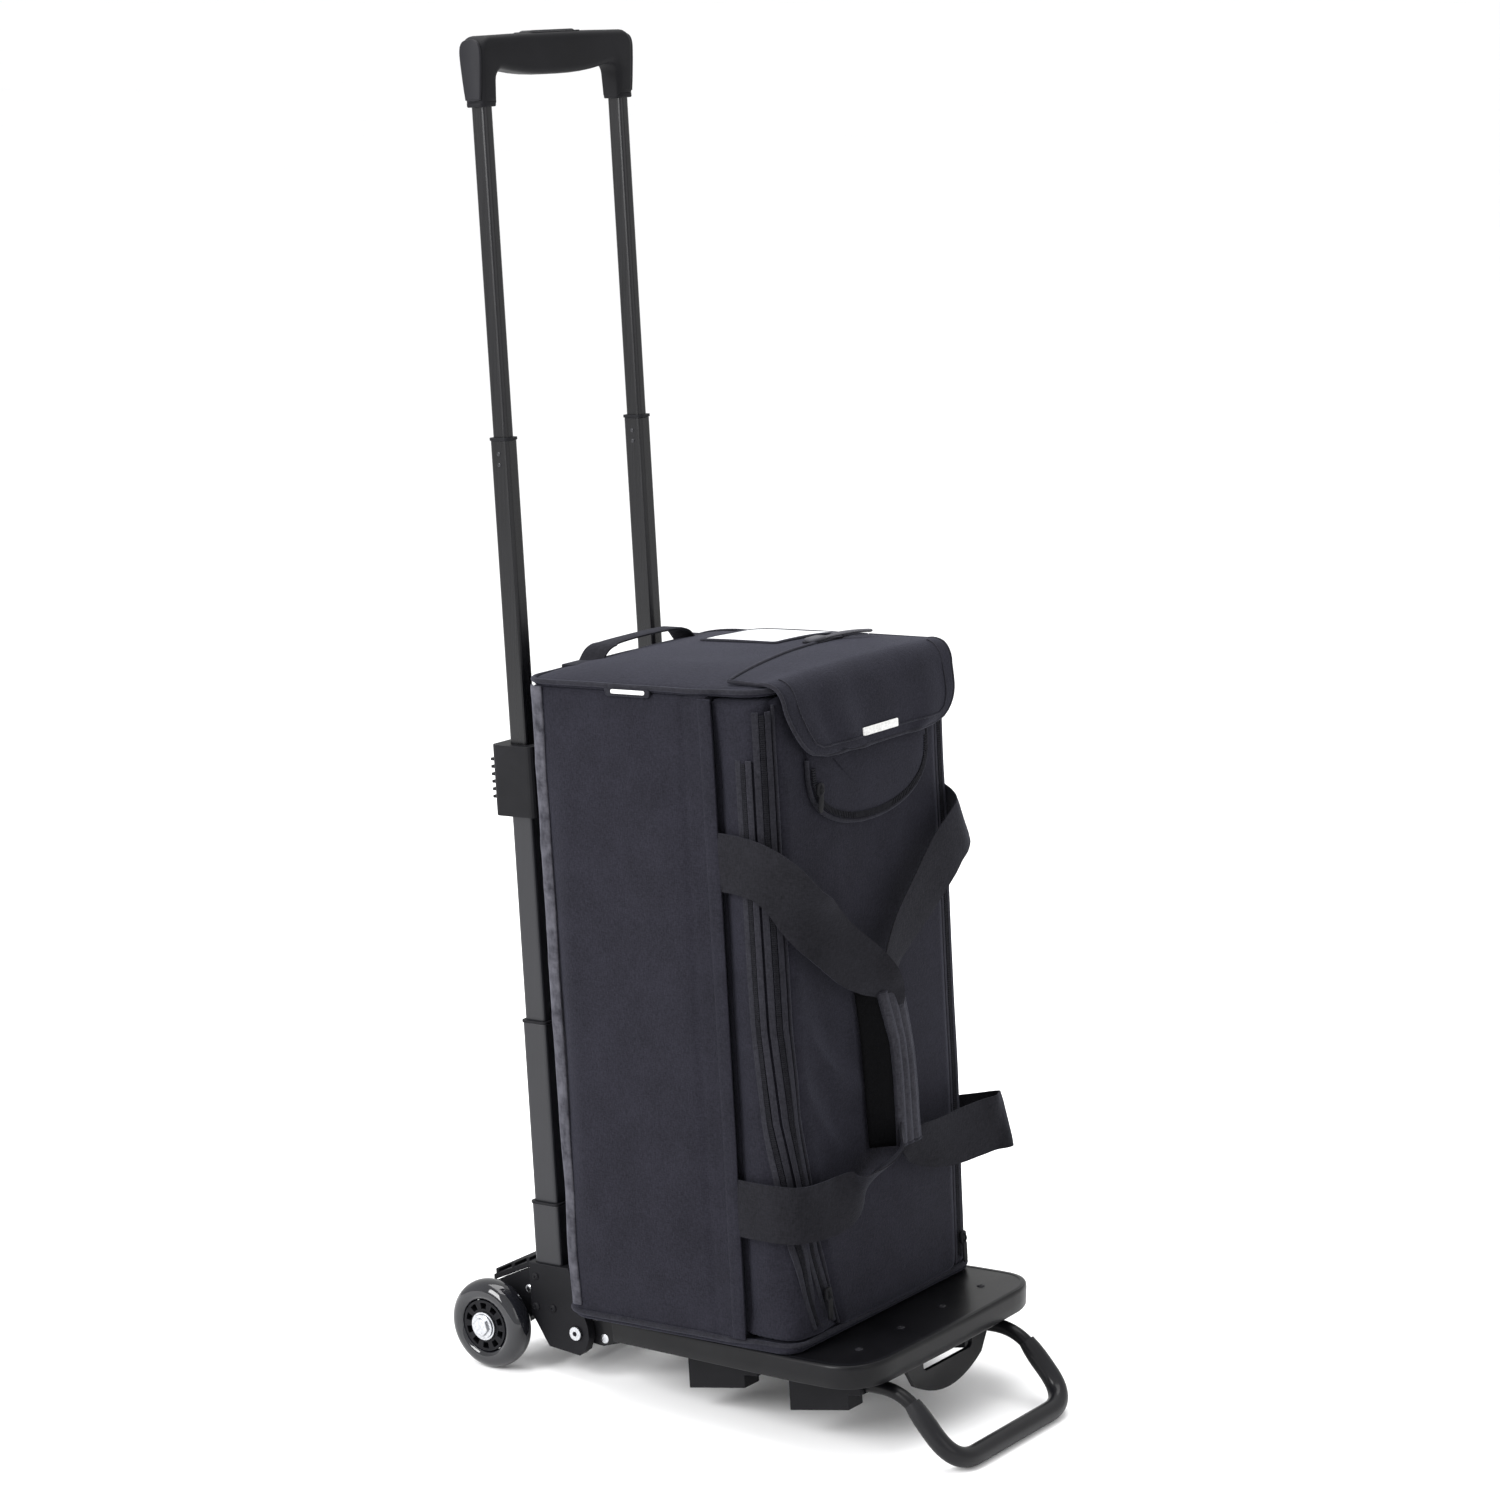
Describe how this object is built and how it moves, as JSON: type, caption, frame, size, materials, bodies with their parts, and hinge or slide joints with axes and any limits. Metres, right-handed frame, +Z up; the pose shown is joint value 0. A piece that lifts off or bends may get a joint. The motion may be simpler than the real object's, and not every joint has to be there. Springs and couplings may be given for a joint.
{
  "type": "luggage trolley with bag",
  "caption": "Folding luggage trolley with a telescopic twin-tube handle, small wheels, a folding deck and a bent front foot, carrying an upright padded cloth bag.",
  "frame": {"origin": "on the floor, under the middle of the bounding box", "axes": "+Z up, +X the right side seen from behind the handle, -Y the front, where the bag opens; the cart leans back 3.84 degrees"},
  "size_m": [0.2464, 0.4414, 0.9958],
  "materials": {
    "tube_paint": "satin",
    "satin_plastic": "satin",
    "gloss_plastic": "gloss",
    "bright_steel": "polished",
    "spring_steel": "satin",
    "clear_tyre": "gloss",
    "sleeve_rubber": "matte",
    "bag_cloth": "matte",
    "webbing": "matte",
    "window_film": "gloss"
  },
  "bodies": {
    "base": {"base_housing": "satin_plastic", "handle_tube_5_left": "tube_paint", "handle_tube_5_right": "tube_paint", "mouth_ring_5_left": "satin_plastic", "mouth_ring_5_right": "satin_plastic", "pivot_pin_left": "bright_steel", "pivot_pin_right": "bright_steel", "axle_crossbeam": "satin_plastic", "wheel_arm_left": "satin_plastic", "wheel_arm_right": "satin_plastic", "axle_rod": "bright_steel"},
    "stage_4": {"handle_tube_4_left": "tube_paint", "handle_tube_4_right": "tube_paint", "mouth_ring_4_left": "satin_plastic", "mouth_ring_4_right": "satin_plastic", "guide_plug_4_left": "satin_plastic", "guide_plug_4_right": "satin_plastic"},
    "stage_3": {"handle_tube_3_left": "tube_paint", "handle_tube_3_right": "tube_paint", "tube_bridge": "satin_plastic", "guide_plug_3_left": "satin_plastic", "guide_plug_3_right": "satin_plastic"},
    "stage_2": {"handle_tube_2_left": "tube_paint", "handle_tube_2_right": "tube_paint", "mouth_ring_2_left": "satin_plastic", "mouth_ring_2_right": "satin_plastic", "guide_plug_2_left": "satin_plastic", "guide_plug_2_right": "satin_plastic"},
    "handle": {"handle_tube_1_left": "tube_paint", "handle_tube_1_right": "tube_paint", "guide_plug_1_left": "satin_plastic", "guide_plug_1_right": "satin_plastic", "grip_body": "satin_plastic", "grip_cover": "satin_plastic", "button_spring": "spring_steel"},
    "release": {"release_button": "satin_plastic", "release_yoke": "satin_plastic", "release_rod_left": "spring_steel", "release_rod_right": "spring_steel"},
    "wheel_left": {"tyre_left": "clear_tyre", "wheel_hub_left": "satin_plastic", "wheel_bearing_left": "bright_steel"},
    "wheel_right": {"tyre_right": "clear_tyre", "wheel_hub_right": "satin_plastic", "wheel_bearing_right": "bright_steel"},
    "deck": {"deck": "gloss_plastic", "foot_guide_left": "satin_plastic", "foot_guide_right": "satin_plastic"},
    "foot": {"foot_bar": "tube_paint", "foot_sleeve": "sleeve_rubber"},
    "bag": {"bag_body": "bag_cloth", "bag_front_panel": "bag_cloth", "front_pocket": "bag_cloth", "card_window": "window_film", "carry_strap_left": "webbing", "carry_strap_right": "webbing", "handle_wrap": "webbing", "grab_handle": "webbing"},
    "flap": {"bag_flap": "bag_cloth"}
  },
  "joints": [
    {"name": "stage_4_slide", "type": "slide", "parent": "base", "child": "stage_4", "axis": [0, 0.067, 0.9978], "range_m": [-0.04, 0]},
    {"name": "stage_3_slide", "type": "slide", "parent": "stage_4", "child": "stage_3", "axis": [0, 0.067, 0.9978], "range_m": [-0.12, 0]},
    {"name": "stage_2_slide", "type": "slide", "parent": "stage_3", "child": "stage_2", "axis": [0, 0.067, 0.9978], "range_m": [-0.189, 0]},
    {"name": "handle_slide", "type": "slide", "parent": "stage_2", "child": "handle", "axis": [0, 0.067, 0.9978], "range_m": [-0.206, 0]},
    {"name": "button_press", "type": "slide", "parent": "handle", "child": "release", "axis": [0, -0.067, -0.9978], "range_m": [0, 0.004], "stiffness_N_per_m": 600, "springref_m": -0.003, "deforming": ["button_spring"]},
    {"name": "wheel_spin_left", "type": "hinge", "parent": "base", "child": "wheel_left", "pos_m": [-0.104, 0.18665, 0.0342], "axis": [1, 0, 0], "continuous": true},
    {"name": "wheel_spin_right", "type": "hinge", "parent": "base", "child": "wheel_right", "pos_m": [0.104, 0.18665, 0.0342], "axis": [1, 0, 0], "continuous": true},
    {"name": "bag_lift", "type": "slide", "parent": "base", "child": "bag", "axis": [0, 0.067, 0.9978], "range_m": [0, 0.392]},
    {"name": "deck_fold", "type": "hinge", "parent": "base", "child": "deck", "pos_m": [0, 0.11425, 0.03806], "axis": [-1, 0, 0], "range_deg": [0, 75]},
    {"name": "foot_extend", "type": "slide", "parent": "deck", "child": "foot", "axis": [0, -0.9978, 0.067], "range_m": [0, 0.045]},
    {"name": "flap_open", "type": "hinge", "parent": "bag", "child": "flap", "pos_m": [0, -0.02111, 0.55248], "axis": [-1, 0, 0], "range_deg": [0, 110]}
  ],
  "couplings": [
    {"joint": "deck_fold", "follows": "bag_lift", "rad_per_m": 3.3333}
  ]
}
